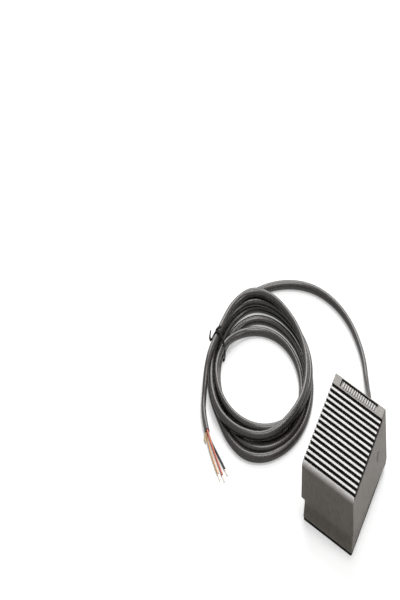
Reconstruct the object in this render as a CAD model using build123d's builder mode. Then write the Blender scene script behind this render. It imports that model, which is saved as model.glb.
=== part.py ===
from build123d import *
import os
from math import atan, cos, radians, sin, tan

# Foot switch: a ribbed pedal cover hinged on a low base with a rubber pad, and its coiled cord.
# Millimetres. The floor is Z = 0, the toe end of the cover faces -Y and the cord leaves at +Y.

os.makedirs("parts", exist_ok=True)

# Pedal cover
cover_width = 68.0
cover_length = 95.0
front_height = 37.5
back_height = 40.5
skirt_front = 14.0
skirt_back = 4.5
cover_wall = 1.8
roof_thickness = 3.6
draft = 1.0
nose_radius = 4.5
edge_radius = 1.0
half_length = cover_length / 2
roof_slope = (back_height - front_height) / cover_length
roof_angle = atan(roof_slope)

# Tread and name recess on the roof
groove_count = 15
groove_pitch = 5.45
groove_width = 2.6
groove_depth = 1.8
lip_radius = 0.3
tread_centre = -3.6
recess_length = 48.0
recess_width = 8.0
recess_depth = 1.5
recess_centre = 41.5

# Hinge
pivot_y = 23.0
pivot_z = 22.5
pin_radius = 2.0
running_gap = 0.06
head_radius = 2.9
head_thickness = 1.4
head_seat_radius = 3.2
head_seat_depth = 1.0
hinge_boss_radius = 5.0

# Inside of the cover
stop_x = 20.0
stop_foot_y = -42.6
stop_foot_bottom = 27.4
stop_lug_y = 44.4
stop_clearance = 0.1
rib_x = 20.0
rib_width = 1.6
rib_depth = 2.4
rib_reach = 36.0
spring_post_radius = 4.0
spring_post_length = 5.0
notch_radius = 7.5

# Base tray and pad
pad_thickness = 2.0
base_width = 59.0
base_front = -44.3
base_back = 44.0
plinth_width = 62.4
plinth_top = 13.5
plinth_toe = -47.3
plinth_toe_top = 8.7
plinth_corner = 1.5
pad_inset = 0.4
base_wall = 2.2
base_floor = 2.5
base_corner = 3.0
wall_front_height = 22.5
wall_back_height = 28.0
floor_top = pad_thickness + base_floor
pad_groove_pitch = 6.0
pad_groove_count = 14
pad_groove_depth = 0.6
spring_cup_radius = 8.0

# Return spring
spring_y = -26.0
spring_radius = 5.4
spring_wire = 0.6
spring_turns = 8

# Snap-action switch
case_length = 27.8
case_height = 15.9
case_thickness = 10.3
case_bottom = 11.6
case_top = case_bottom + case_height
cover_plate = 2.0
mount_y = 11.1
mount_low = 14.4
mount_high = 24.7
screw_radius = 1.5
hole_radius = 1.55
lever_y = 10.0
lever_z = 28.2
lever_angle = 11.0
lever_thickness = 0.5
lever_width = 4.0
lever_reach = 22.0
button_y = 2.0
button_top = 29.2
button_radius = 1.5
striker_y = -9.0
striker_radius = 1.5
striker_z = 33.9

# Cord
cord_diameter = 6.0
cord_radius = cord_diameter / 2
cord_z = 11.5
cord_start = 32.0
coil_x = -131.0
coil_y = 35.7
coil_turned = 28.0
coil_height = 18.5
coil_across = 66.0
coil_deep = 76.5
hole_across = 47.5
hole_deep = 46.8
tie_thickness = 1.2
tie_width = 18.6
tie_x = -188.0
tie_y = 27.0
wire_radius = 1.1


def roof_height(y, drop=0.0):
    """Height of the roof at y, or of a surface that far below it."""
    return front_height - drop + roof_slope * (y + half_length)


def roof_plane(y):
    """Plane that lies on the sloping roof at y, with its X along the width."""
    return Plane(
        origin=(0, y, roof_height(y)),
        x_dir=(1, 0, 0),
        z_dir=(0, -sin(roof_angle), cos(roof_angle)),
    )


def arc_radii(points):
    """Largest tangent arc at each corner of a route: 0.45 of the shorter run over tan of half the turn."""
    radii = []
    for before, here, after in zip(points, points[1:], points[2:]):
        arriving = Vector(*here) - Vector(*before)
        leaving = Vector(*after) - Vector(*here)
        turn = arriving.get_angle(leaving)
        radii.append(0.45 * min(arriving.length, leaving.length) / tan(radians(turn / 2)))
    return radii


def tube(points, radius, name):
    """Round tube along straight runs joined by tangent arcs. Prints its radii and its volume test."""
    radii = arc_radii(points)
    with BuildPart() as made:
        with BuildLine() as route:
            FilletPolyline(*points, radius=radii)
        start = route.wires()[0] @ 0
        heading = route.wires()[0] % 0
        with BuildSketch(Plane(origin=start, z_dir=heading)):
            Circle(radius)
        sweep(path=route.wires()[0])
    length = route.wires()[0].length
    share = made.part.volume / (length * Circle(radius, mode=Mode.PRIVATE).area)
    shown = [round(r, 1) for r in radii]
    print(name, "length", round(length, 1), "radii", shown, "volume share", round(share, 4))
    return made.part


def save(part, name):
    """Write one finished piece."""
    part.label = name
    export_step(part, "parts/" + name + ".step")


# Pedal cover: one casting with a ribbed roof, deep skirts, hinge bosses and a striker

def cover_form(inset, drop, nose, edge, lower_edge):
    """Drafted block trimmed to a side view: its sloping roof, rounded nose and lower edge."""
    with BuildPart() as form:
        with BuildSketch():
            Rectangle(cover_width - 2 * inset, cover_length - 2 * inset)
        extrude(amount=back_height + 10, taper=draft)
        beyond = half_length + 4
        with BuildSketch(Plane.YZ):
            with BuildLine():
                Polyline(
                    *lower_edge,
                    (beyond, roof_height(beyond, drop)),
                    (-beyond, roof_height(-beyond, drop)),
                    close=True,
                )
            make_face()
        extrude(amount=cover_width, both=True, mode=Mode.INTERSECT)
        roof = form.faces().sort_by(Axis.Z)[-1]
        fillet(roof.edges().sort_by(Axis.Y)[0], nose)
        ends = form.edges().filter_by(lambda e: abs(e.center().Y) > half_length - 6)
        uprights = ends.filter_by(lambda e: abs((e % 0.5).Z) > 0.7 and abs(e.center().X) > 20)
        corners = uprights.filter_by(lambda e: e.center().Z <= 20)
        crown = form.edges().filter_by(lambda e: e.center().Z > 20)
        fillet(corners + crown, edge)
    return form.part


outer_edge = [
    (-half_length - 4, skirt_front),
    (-half_length, skirt_front),
    (43.5, skirt_back),
    (half_length, 7.5),
    (half_length + 4, 7.5),
]
hollow_edge = [(-half_length - 4, -5), (half_length + 4, -5)]
cover_outside = cover_form(0, 0, nose_radius, edge_radius, outer_edge)
cover_hollow = cover_form(cover_wall, roof_thickness, 2.0, 0.6, hollow_edge)

groove_plane = Plane(
    origin=(0, tread_centre, roof_height(tread_centre)),
    x_dir=(0, cos(roof_angle), sin(roof_angle)),
    z_dir=(1, 0, 0),
)
with BuildSketch() as groove_profile:
    side = groove_width / 2
    mouth = side + lip_radius
    with BuildLine():
        Polyline((-side, -lip_radius), (-side, -groove_depth), (side, -groove_depth), (side, -lip_radius))
        RadiusArc((side, -lip_radius), (mouth, 0), lip_radius)
        Polyline((mouth, 0), (mouth, 2), (-mouth, 2), (-mouth, 0))
        RadiusArc((-mouth, 0), (-side, -lip_radius), lip_radius)
    make_face()

with BuildPart() as pedal_cover:
    add(cover_outside)
    add(cover_hollow, mode=Mode.SUBTRACT)
    # Tread grooves run out through both sides
    with BuildSketch(groove_plane):
        with GridLocations(groove_pitch, 1, groove_count, 1):
            add(groove_profile.sketch)
    extrude(amount=cover_width, both=True, mode=Mode.SUBTRACT)
    # Bare recess near the heel end
    with BuildSketch(roof_plane(recess_centre)):
        RectangleRounded(recess_length, recess_width, 0.6)
    extrude(amount=-recess_depth, mode=Mode.SUBTRACT)
    # Bosses and bores for the hinge pin
    inner_half = cover_width / 2 - cover_wall
    for direction in (1, -1):
        boss_plane = Plane(origin=(direction * (inner_half - 1.9), pivot_y, pivot_z), z_dir=(direction, 0, 0))
        with BuildSketch(boss_plane):
            Circle(hinge_boss_radius)
        extrude(amount=2.4)
        seat_x = direction * (cover_width / 2 - 0.4)
        seat_plane = Plane(origin=(seat_x, pivot_y, pivot_z), z_dir=(-direction, 0, 0))
        with BuildSketch(seat_plane):
            Circle(head_seat_radius)
        extrude(amount=head_seat_depth, mode=Mode.SUBTRACT)
        with BuildSketch(seat_plane):
            Circle(head_seat_radius)
        extrude(amount=-2, mode=Mode.SUBTRACT)
    with BuildSketch(Plane.YZ):
        with Locations((pivot_y, pivot_z)):
            Circle(pin_radius + running_gap)
    extrude(amount=cover_width, both=True, mode=Mode.SUBTRACT)
    # Striker that presses the lever, round along the width
    with BuildSketch(Plane.YZ):
        striker_height = roof_height(striker_y, roof_thickness) - striker_z + 1
        with Locations((striker_y, striker_z + striker_height / 2)):
            Rectangle(2 * striker_radius, striker_height)
        with Locations((striker_y, striker_z)):
            Circle(striker_radius)
    extrude(amount=3, both=True)
    # Post inside the spring
    with BuildSketch(Plane.XY.offset(roof_height(spring_y, roof_thickness) - spring_post_length)):
        with Locations((0, spring_y)):
            Circle(spring_post_radius)
    extrude(amount=spring_post_length + 1)
    # Stop feet at the toe and stop lugs at the heel
    with BuildSketch(Plane.XY.offset(stop_foot_bottom)):
        with Locations((-stop_x, stop_foot_y), (stop_x, stop_foot_y)):
            Rectangle(4, 2.2)
    extrude(amount=6)
    with BuildSketch(Plane.XY.offset(wall_back_height + stop_clearance)):
        with Locations((-stop_x, stop_lug_y), (stop_x, stop_lug_y)):
            Rectangle(6, 3.8)
    extrude(amount=3)
    # Stiffening ribs along the underside of the roof
    for direction in (1, -1):
        with BuildSketch(Plane.YZ.offset(direction * rib_x)):
            with BuildLine():
                Polyline(
                    (-rib_reach, roof_height(-rib_reach, roof_thickness) + 1),
                    (-rib_reach + 2, roof_height(-rib_reach + 2, roof_thickness) - rib_depth),
                    (rib_reach, roof_height(rib_reach, roof_thickness) - rib_depth),
                    (rib_reach + 2, roof_height(rib_reach + 2, roof_thickness) + 1),
                    close=True,
                )
            make_face()
        extrude(amount=rib_width / 2, both=True)
    # Notch in the back wall over the cord
    with BuildSketch(Plane.XZ.offset(-half_length - 2)):
        with Locations((0, cord_z)):
            Circle(notch_radius)
        with Locations((0, cord_z - notch_radius)):
            Rectangle(2 * notch_radius, 2 * notch_radius)
    extrude(amount=7, mode=Mode.SUBTRACT)
save(pedal_cover.part, "pedal_cover")


# Base tray: floor, walls with hinge ears, cord slot, spring cup and screw bosses

base_length = base_back - base_front
base_middle = (base_front + base_back) / 2
ear_radius = 5.0
neck_radius = 4.2
bracket_screw_x = 12.0
bracket_screw_y = 7.0
bracket_seat = 7.5
clamp_y = 37.0
clamp_screw_x = 8.0
cradle_top = 10.5

with BuildPart() as base_shell:
    # Wider plinth whose toe slopes out under the cover's front edge
    with BuildSketch(Plane.YZ):
        with BuildLine():
            Polyline(
                (plinth_toe, pad_thickness),
                (base_front, plinth_toe_top),
                (base_front, plinth_top),
                (base_back, plinth_top),
                (base_back, pad_thickness),
                close=True,
            )
        make_face()
    extrude(amount=plinth_width / 2, both=True)
    plinth_ends = base_shell.edges().filter_by(lambda e: abs(e.center().X) > 30 and abs((e % 0.5).Z) > 0.7)
    fillet(plinth_ends, plinth_corner)
    fillet(base_shell.faces().sort_by(Axis.Z)[-1].edges(), 0.5)
    with BuildSketch(Plane.XY.offset(pad_thickness)):
        with Locations((0, base_middle)):
            RectangleRounded(base_width, base_length, base_corner)
    extrude(amount=wall_back_height + 10)
    with BuildSketch(Plane.XY.offset(floor_top)):
        with Locations((0, base_middle)):
            RectangleRounded(base_width - 2 * base_wall, base_length - 2 * base_wall, base_corner - 1.2)
    extrude(amount=wall_back_height + 10, mode=Mode.SUBTRACT)
    # Wall tops rise from the toe to the hinge
    with BuildSketch(Plane.YZ):
        with BuildLine():
            Polyline(
                (base_front - 1, wall_front_height),
                (-30, wall_front_height),
                (10, wall_back_height),
                (base_back + 1, wall_back_height),
                (base_back + 1, wall_back_height + 20),
                (base_front - 1, wall_back_height + 20),
                close=True,
            )
        make_face()
    extrude(amount=base_width, both=True, mode=Mode.SUBTRACT)
    # Bosses that carry the hinge pin, inside each wall
    for direction in (1, -1):
        boss_plane = Plane(
            origin=(direction * (base_width / 2 - base_wall - 2), pivot_y, pivot_z),
            z_dir=(direction, 0, 0),
        )
        with BuildSketch(boss_plane):
            Circle(ear_radius)
        extrude(amount=3)
    with BuildSketch(Plane.YZ):
        with Locations((pivot_y, pivot_z)):
            Circle(pin_radius)
    extrude(amount=base_width, both=True, mode=Mode.SUBTRACT)
    # Slot in the back wall for the neck of the strain relief
    with BuildSketch(Plane.XZ.offset(-base_back - 1)):
        with Locations((0, cord_z)):
            Circle(neck_radius)
        with Locations((0, cord_z + 15)):
            Rectangle(2 * neck_radius, 30)
    extrude(amount=base_wall + 2, mode=Mode.SUBTRACT)
    # Cup round the foot of the spring
    with BuildSketch(Plane.XY.offset(floor_top)):
        with Locations((0, spring_y)):
            Circle(spring_cup_radius)
            Circle(spring_radius + spring_wire + 0.4, mode=Mode.SUBTRACT)
    extrude(amount=3)
    # Seats for the switch bracket
    with BuildSketch(Plane.XY.offset(floor_top)):
        with Locations((bracket_screw_x, -bracket_screw_y), (bracket_screw_x, bracket_screw_y)):
            Circle(3.6)
    extrude(amount=bracket_seat - floor_top)
    with BuildSketch(Plane.XY.offset(bracket_seat)):
        with Locations((bracket_screw_x, -bracket_screw_y), (bracket_screw_x, bracket_screw_y)):
            Circle(screw_radius)
    extrude(amount=-4.5, mode=Mode.SUBTRACT)
    # Cradle under the cord, with the clamp's screw holes
    with BuildSketch(Plane.XY.offset(floor_top)):
        with Locations((0, clamp_y)):
            RectangleRounded(24, 6, 1)
    extrude(amount=cradle_top - floor_top)
    with BuildSketch(Plane.XZ.offset(-clamp_y - 4)):
        with Locations((0, cord_z)):
            Circle(cord_radius)
    extrude(amount=8, mode=Mode.SUBTRACT)
    with BuildSketch(Plane.XY.offset(cradle_top)):
        with Locations((-clamp_screw_x, clamp_y), (clamp_screw_x, clamp_y)):
            Circle(screw_radius)
    extrude(amount=-6, mode=Mode.SUBTRACT)
    # Stiffening ribs across the floor
    with BuildSketch(Plane.XY.offset(floor_top)):
        with Locations((-21, -30), (-21, -15), (-21, 0), (21, -30)):
            Rectangle(12, 1.6)
    extrude(amount=2)
save(base_shell.part, "base_shell")

with BuildPart() as base_pad:
    pad_length = base_back - plinth_toe - 2 * pad_inset
    with BuildSketch():
        with Locations((0, (plinth_toe + base_back) / 2)):
            RectangleRounded(plinth_width - 2 * pad_inset, pad_length, plinth_corner)
    extrude(amount=pad_thickness)
    with BuildSketch():
        with GridLocations(1, pad_groove_pitch, 1, pad_groove_count):
            SlotOverall(48, 1.6)
    extrude(amount=pad_groove_depth, mode=Mode.SUBTRACT)
save(base_pad.part, "base_pad")


# Hinge pin with one formed head, and the cap pressed on its other end

seat_face = cover_width / 2 - 0.4 - head_seat_depth
with BuildPart() as hinge_pin:
    with BuildSketch(Plane.YZ.offset(-seat_face - head_thickness - 0.1)):
        with Locations((pivot_y, pivot_z)):
            Circle(pin_radius)
    extrude(amount=2 * seat_face + head_thickness + 0.2)
    with BuildSketch(Plane.YZ.offset(seat_face + 0.1)):
        with Locations((pivot_y, pivot_z)):
            Circle(head_radius)
    extrude(amount=head_thickness)
    fillet(hinge_pin.faces().sort_by(Axis.X)[-1].edges(), 0.5)
    chamfer(hinge_pin.faces().sort_by(Axis.X)[0].edges(), 0.3)
save(hinge_pin.part, "hinge_pin")

with BuildPart() as pin_cap:
    with BuildSketch(Plane.YZ.offset(-seat_face - head_thickness - 0.1)):
        with Locations((pivot_y, pivot_z)):
            Circle(head_radius)
            Circle(pin_radius, mode=Mode.SUBTRACT)
    extrude(amount=head_thickness)
    fillet(pin_cap.faces().sort_by(Axis.X)[0].edges().sort_by(SortBy.RADIUS)[-1], 0.4)
save(pin_cap.part, "pin_cap")


# Return spring between the base floor and the roof, with ends ground flat

spring_top = roof_height(spring_y - 7, roof_thickness) - 0.15
spring_length = spring_top - floor_top
with BuildPart() as return_spring:
    pitch = spring_length / spring_turns
    with BuildLine() as coil_line:
        Helix(pitch, spring_length, spring_radius, center=(0, spring_y, floor_top))
    with BuildSketch(Plane(origin=coil_line.line @ 0, z_dir=coil_line.line % 0)):
        Circle(spring_wire)
    sweep(path=coil_line.wires()[0], is_frenet=True)
    with BuildSketch(Plane.XY.offset(floor_top)):
        with Locations((0, spring_y)):
            Circle(spring_radius + 2)
    extrude(amount=spring_length, mode=Mode.INTERSECT)
save(return_spring.part, "return_spring")


# Snap-action switch: case, cover, lever, button and three blades

terminal_width = 4.8
terminal_thickness = 0.6
terminal_length = 6.2
terminal_root = 3.0
terminals = {"terminal_common": 10.5, "terminal_open": 1.5, "terminal_closed": -7.5}
case_left = -case_thickness / 2
case_right = case_thickness / 2

with BuildPart() as switch_case:
    with BuildSketch(Plane.YZ.offset(case_left)):
        with Locations((0, case_bottom + case_height / 2)):
            RectangleRounded(case_length, case_height, 0.8)
    extrude(amount=case_thickness - cover_plate)
    # Raised collar round the button and ears for the lever
    with BuildSketch(Plane.XY.offset(case_top - 0.5)):
        with Locations((-cover_plate / 2, button_y)):
            RectangleRounded(5, 5, 0.8)
    extrude(amount=0.7)
    with BuildSketch(Plane.YZ.offset(case_left + 0.6)):
        with Locations((lever_y, case_top + 0.4)):
            SlotOverall(4.2, 3, rotation=90)
    extrude(amount=1.3)
    with BuildSketch(Plane.YZ.offset(case_right - cover_plate - 1.3)):
        with Locations((lever_y, case_top + 0.4)):
            SlotOverall(4.2, 3, rotation=90)
    extrude(amount=1.3)
    with BuildSketch(Plane.YZ):
        with Locations((lever_y, lever_z)):
            Circle(0.56)
    extrude(amount=case_thickness, both=True, mode=Mode.SUBTRACT)
    # Bore for the button
    with BuildSketch(Plane.XY.offset(case_top + 1)):
        with Locations((-cover_plate / 2, button_y)):
            Circle(button_radius + 0.05)
    extrude(amount=-7, mode=Mode.SUBTRACT)
    # Mounting holes
    with BuildSketch(Plane.YZ):
        with Locations((-mount_y, mount_low), (mount_y, mount_high)):
            Circle(hole_radius)
    extrude(amount=case_thickness, both=True, mode=Mode.SUBTRACT)
    # Slots that the blades stand in
    with BuildSketch(Plane.XY.offset(case_bottom)):
        for place in terminals.values():
            with Locations((-cover_plate / 2, place)):
                Rectangle(terminal_width, terminal_thickness)
    extrude(amount=terminal_root, mode=Mode.SUBTRACT)
    # Step along the case where its halves meet
    with BuildSketch(Plane.YZ.offset(case_left)):
        with Locations((0, case_bottom + 3.2)):
            SlotOverall(case_length - 9, 1.2)
    extrude(amount=0.5, mode=Mode.SUBTRACT)
save(switch_case.part, "switch_case")

with BuildPart() as switch_cover:
    with BuildSketch(Plane.YZ.offset(case_right - cover_plate)):
        with Locations((0, case_bottom + case_height / 2)):
            RectangleRounded(case_length, case_height, 0.8)
        with Locations((-mount_y, mount_low), (mount_y, mount_high)):
            Circle(hole_radius, mode=Mode.SUBTRACT)
    extrude(amount=cover_plate)
save(switch_cover.part, "switch_cover")

lever_plane = Plane(
    origin=(-cover_plate / 2, lever_y, lever_z),
    x_dir=(0, -cos(radians(lever_angle)), sin(radians(lever_angle))),
    z_dir=(1, 0, 0),
)
with BuildPart() as switch_lever:
    with BuildSketch(lever_plane):
        with Locations(((lever_reach - 0.6) / 2, 0)):
            Rectangle(lever_reach + 0.6, lever_thickness)
    extrude(amount=lever_width / 2, both=True)
    with BuildSketch(lever_plane):
        Circle(0.5)
    extrude(amount=3.1, both=True)
    tip = switch_lever.edges().filter_by(lambda e: e.length < 0.6 and e.center().Y < lever_y - 18)
    fillet(tip, 1.5)
save(switch_lever.part, "switch_lever")

with BuildPart() as switch_button:
    with BuildSketch(Plane.XY.offset(button_top)):
        with Locations((-cover_plate / 2, button_y)):
            Circle(button_radius)
    extrude(amount=-6)
    fillet(switch_button.faces().sort_by(Axis.Z)[-1].edges(), 0.5)
save(switch_button.part, "switch_button")

for terminal_name, place in terminals.items():
    with BuildPart() as terminal:
        with BuildSketch(Plane.XZ.offset(-place - terminal_thickness / 2)):
            with Locations((-cover_plate / 2, case_bottom + (terminal_root - terminal_length) / 2)):
                Rectangle(terminal_width, terminal_root + terminal_length)
            with Locations((-cover_plate / 2, case_bottom - terminal_length / 2)):
                Circle(0.8, mode=Mode.SUBTRACT)
        extrude(amount=terminal_thickness)
        tips = terminal.faces().sort_by(Axis.Z)[0].edges().filter_by(Axis.Y)
        chamfer(tips, 0.8)
    save(terminal.part, terminal_name)


# Push-on connectors, one on each blade

connector_bottom = 5.4
barrel_radius = 1.7
barrel_length = 4.0
barrel_z = 8.2

with BuildPart() as push_on_connectors:
    for place in terminals.values():
        with BuildSketch(Plane.XY.offset(connector_bottom)):
            with Locations((-cover_plate / 2, place)):
                RectangleRounded(6.4, 2.4, 0.4)
        extrude(amount=5.6)
        with BuildSketch(Plane.XY.offset(connector_bottom)):
            with Locations((-cover_plate / 2, place)):
                Rectangle(terminal_width, terminal_thickness)
        extrude(amount=5.6, mode=Mode.SUBTRACT)
    # The common blade's barrel faces the cord, the other two face the left wall
    with BuildSketch(Plane.XZ.offset(-terminals["terminal_common"] - 1.2)):
        with Locations((-cover_plate / 2, barrel_z)):
            Circle(barrel_radius)
    extrude(amount=-barrel_length)
    for place in (terminals["terminal_open"], terminals["terminal_closed"]):
        with BuildSketch(Plane.YZ.offset(-cover_plate / 2 - 3.2)):
            with Locations((place, barrel_z)):
                Circle(barrel_radius)
        extrude(amount=-barrel_length)
save(push_on_connectors.part, "push_on_connectors")


# Bracket that stands the switch on the base, and its screws and nuts

plate = 1.2
bracket_top = 28.0
bracket_length = 28.0
bracket_foot = 12.0
with BuildPart() as switch_bracket:
    with BuildSketch(Plane.XZ.offset(-bracket_length / 2)):
        with Locations((case_right + plate / 2, (bracket_seat + bracket_top) / 2)):
            Rectangle(plate, bracket_top - bracket_seat)
        with Locations((case_right + bracket_foot / 2, bracket_seat + plate / 2)):
            Rectangle(bracket_foot, plate)
    extrude(amount=bracket_length)
    bend = switch_bracket.edges().filter_by(Axis.Y)
    inner_bend = bend.filter_by(lambda e: abs(e.center().X - case_right - plate) < 0.01 and e.center().Z < 12)
    outer_bend = bend.filter_by(lambda e: abs(e.center().X - case_right) < 0.01 and e.center().Z < 12)
    fillet(inner_bend, 0.8)
    fillet(outer_bend, 2.0)
    with BuildSketch(Plane.YZ.offset(case_right - 1)):
        with Locations((-mount_y, mount_low), (mount_y, mount_high)):
            Circle(hole_radius)
    extrude(amount=plate + 2, mode=Mode.SUBTRACT)
    with BuildSketch(Plane.XY.offset(bracket_seat - 1)):
        with Locations((bracket_screw_x, -bracket_screw_y), (bracket_screw_x, bracket_screw_y)):
            Circle(hole_radius)
    extrude(amount=plate + 2, mode=Mode.SUBTRACT)
    feet = switch_bracket.edges().filter_by(Axis.Z).filter_by(lambda e: e.center().X > case_right + 8)
    fillet(feet, 2.0)
    ears = switch_bracket.edges().filter_by(Axis.X).filter_by(lambda e: e.center().Z > bracket_top - 1)
    fillet(ears, 2.0)
save(switch_bracket.part, "switch_bracket")


screw_head_radius = 2.8
screw_head_height = 1.9
drive_length = 2.6
drive_width = 0.6
nut_half_width = 2.75
nut_height = 2.2


def pan_screw(plane, shank_length):
    """Cross-recess pan head screw. The plane lies on the seat, its Z pointing out of the head."""
    with BuildPart() as screw:
        with BuildSketch(plane):
            Circle(screw_head_radius)
        extrude(amount=screw_head_height)
        fillet(screw.faces().sort_by(Axis(plane.origin, plane.z_dir))[-1].edges(), 0.7)
        with BuildSketch(plane.offset(screw_head_height)):
            Rectangle(drive_length, drive_width)
            Rectangle(drive_width, drive_length)
        extrude(amount=-1.1, mode=Mode.SUBTRACT)
        with BuildSketch(plane):
            Circle(screw_radius)
        extrude(amount=-shank_length)
    return screw.part


def hex_nut(plane):
    """Plain nut that stands on the plane."""
    with BuildPart() as nut:
        with BuildSketch(plane):
            RegularPolygon(nut_half_width, 6, major_radius=False)
            Circle(screw_radius, mode=Mode.SUBTRACT)
        extrude(amount=nut_height)
    return nut.part


def group(solids):
    """Identical pieces held in one node."""
    return Compound(children=list(solids))


case_mounts = [(-mount_y, mount_low), (mount_y, mount_high)]
screw_planes = [Plane(origin=(case_left, y, z), z_dir=(-1, 0, 0)) for y, z in case_mounts]
nut_planes = [Plane(origin=(case_right + plate, y, z), z_dir=(1, 0, 0)) for y, z in case_mounts]
bracket_planes = [
    Plane(origin=(bracket_screw_x, y, bracket_seat + plate)) for y in (-bracket_screw_y, bracket_screw_y)
]
clamp_planes = [Plane(origin=(x, clamp_y, cradle_top + plate)) for x in (-clamp_screw_x, clamp_screw_x)]
save(group(pan_screw(plane, case_thickness + plate + 3.2) for plane in screw_planes), "switch_screws")
save(group(hex_nut(plane) for plane in nut_planes), "switch_nuts")
save(group(pan_screw(plane, plate + 4.0) for plane in bracket_planes), "bracket_screws")
save(group(pan_screw(plane, plate + 5.5) for plane in clamp_planes), "clamp_screws")


# Cord clamp: a strap bent over the cord, screwed to the cradle

with BuildPart() as cord_clamp:
    with BuildSketch(Plane.XZ.offset(-clamp_y - 2.5)):
        with Locations((0, cord_z)):
            Circle(cord_radius + plate)
        with Locations((0, cradle_top + plate / 2)):
            Rectangle(2 * clamp_screw_x + 6.5, plate)
        with Locations((0, cord_z)):
            Circle(cord_radius, mode=Mode.SUBTRACT)
        with Locations((0, cradle_top - 10)):
            Rectangle(40, 20, mode=Mode.SUBTRACT)
    extrude(amount=5)
    with BuildSketch(Plane.XY.offset(cradle_top - 1)):
        with Locations((-clamp_screw_x, clamp_y), (clamp_screw_x, clamp_y)):
            Circle(hole_radius)
    extrude(amount=plate + 2, mode=Mode.SUBTRACT)
save(cord_clamp.part, "cord_clamp")


# Strain relief: a tapered sleeve with rings, locked in the back wall by two flanges

relief_end = 60.2
ring_pitch = 2.8
ring_count = 4
ring_width = 1.3
with BuildPart() as strain_relief:
    with BuildSketch(Plane.YZ):
        with BuildLine():
            Polyline(
                (base_back - base_wall - 1.5, cord_z + cord_radius),
                (base_back - base_wall - 1.5, cord_z + 6),
                (base_back - base_wall, cord_z + 6),
                (base_back - base_wall, cord_z + neck_radius),
                (base_back, cord_z + neck_radius),
                (base_back, cord_z + 6),
                (base_back + 1.8, cord_z + 6),
                (base_back + 1.8, cord_z + 5.2),
                (relief_end, cord_z + 4.0),
                (relief_end, cord_z + cord_radius),
                close=True,
            )
        make_face()
    relief_axis = Axis((0, 0, cord_z), (0, 1, 0))
    revolve(axis=relief_axis)
    with BuildSketch(Plane.YZ):
        with Locations((base_back + 9.4, cord_z + 5.0)):
            with GridLocations(ring_pitch, 1, ring_count, 1):
                Rectangle(ring_width, 1.6)
    revolve(axis=relief_axis, mode=Mode.SUBTRACT)
save(strain_relief.part, "strain_relief")


# Cord from the clamp to the coil, the coil's outer shape, and the free end beyond it

cord_route = [
    (0, cord_start, cord_z),
    (0, 75, cord_z),
    (-17, 101, 3.2),
    (-34, 127, 3.2),
    (-66, 150.5, 3.2),
    (-104, 157, 3.2),
    (-138, 147, 3.2),
    (-167, 125, 3.2),
    (-187, 97, 3.2),
    (-196, 66, 3.2),
]
save(tube(cord_route, cord_radius, "cord_run"), "cord_run")

with BuildPart() as cord_coil:
    with BuildSketch():
        with Locations((coil_x, coil_y)):
            Ellipse(coil_across, coil_deep, rotation=coil_turned)
            Ellipse(hole_across, hole_deep, rotation=coil_turned, mode=Mode.SUBTRACT)
    extrude(amount=coil_height)
    fillet(cord_coil.edges(), 6)
save(cord_coil.part, "cord_coil")

tail_route = [
    (-188.8, 27, 13.6),
    (-190.0, 12, 13.2),
    (-188.0, -1, 11.0),
    (-183.8, -14, 4.4),
    (-176.0, -28.5, 3.2),
    (-163, -41, 3.2),
]
save(tube(tail_route, cord_radius, "cord_tail"), "cord_tail")

with BuildPart() as cord_tie:
    tie_z = coil_height / 2 + tie_thickness
    tie_plane = Plane(origin=(tie_x, tie_y, tie_z), x_dir=(1, 0, 0), z_dir=(0, -1, 0))
    with BuildSketch(tie_plane):
        RectangleRounded(tie_width + 2 * tie_thickness, coil_height + 2 * tie_thickness, 7)
        RectangleRounded(tie_width, coil_height, 6, mode=Mode.SUBTRACT)
    extrude(amount=4 * tie_thickness)
    fillet(cord_tie.edges(), 0.4)
save(cord_tie.part, "cord_tie")


# Conductors: three inside the base, three at the stripped end with bare tips

inner_leads = {
    "lead_common": [(0, 32, 13.1), (0, 26.5, 13.1), (-1, 21.5, 8.2), (-1, 15.7, 8.2)],
    "lead_open": [(1.5, 32, 10.4), (1.5, 28.5, 10.4), (-11.5, 19, 8.2), (-11.5, 1.5, 8.2), (-8.2, 1.5, 8.2)],
    "lead_closed": [
        (-1.5, 32, 10.4),
        (-1.5, 29.5, 10.4),
        (-16, 20, 8.2),
        (-16, -7.5, 8.2),
        (-8.2, -7.5, 8.2),
    ],
}
for lead_name, lead_route in inner_leads.items():
    save(tube(lead_route, wire_radius, lead_name), lead_name)

# Conductors at the stripped end, fanned out on the floor, with bare copper tips

outer_wires = {
    "wire_tan": [(-163.99, -42.06, 2.2), (-159.6, -46.14, 2.2), (-148.0, -54.9, 1.2), (-136.0, -63.2, 1.2)],
    "wire_red": [(-163.0, -41.0, 4.7), (-158.6, -45.08, 4.7), (-146.0, -52.4, 1.2), (-130.0, -63.6, 1.2)],
    "wire_black": [(-162.01, -39.94, 2.2), (-157.6, -44.02, 2.2), (-144.0, -50.0, 1.2), (-130.0, -57.2, 1.2)],
}
for wire_name, wire_route in outer_wires.items():
    save(tube(wire_route, wire_radius, wire_name), wire_name)

tip_radius = 0.6
tip_length = 7.0
bare_ends = []
for wire_route in outer_wires.values():
    end = Vector(*wire_route[-1])
    heading = (end - Vector(*wire_route[-2])).normalized()
    with BuildPart() as bare_end:
        with BuildSketch(Plane(origin=end, z_dir=heading)):
            Circle(tip_radius)
        extrude(amount=tip_length)
    bare_ends.append(bare_end.part)
save(group(bare_ends), "bare_tips")
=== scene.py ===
import math
import bmesh
import bpy
import numpy as np
from mathutils import Matrix, Vector


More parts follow.
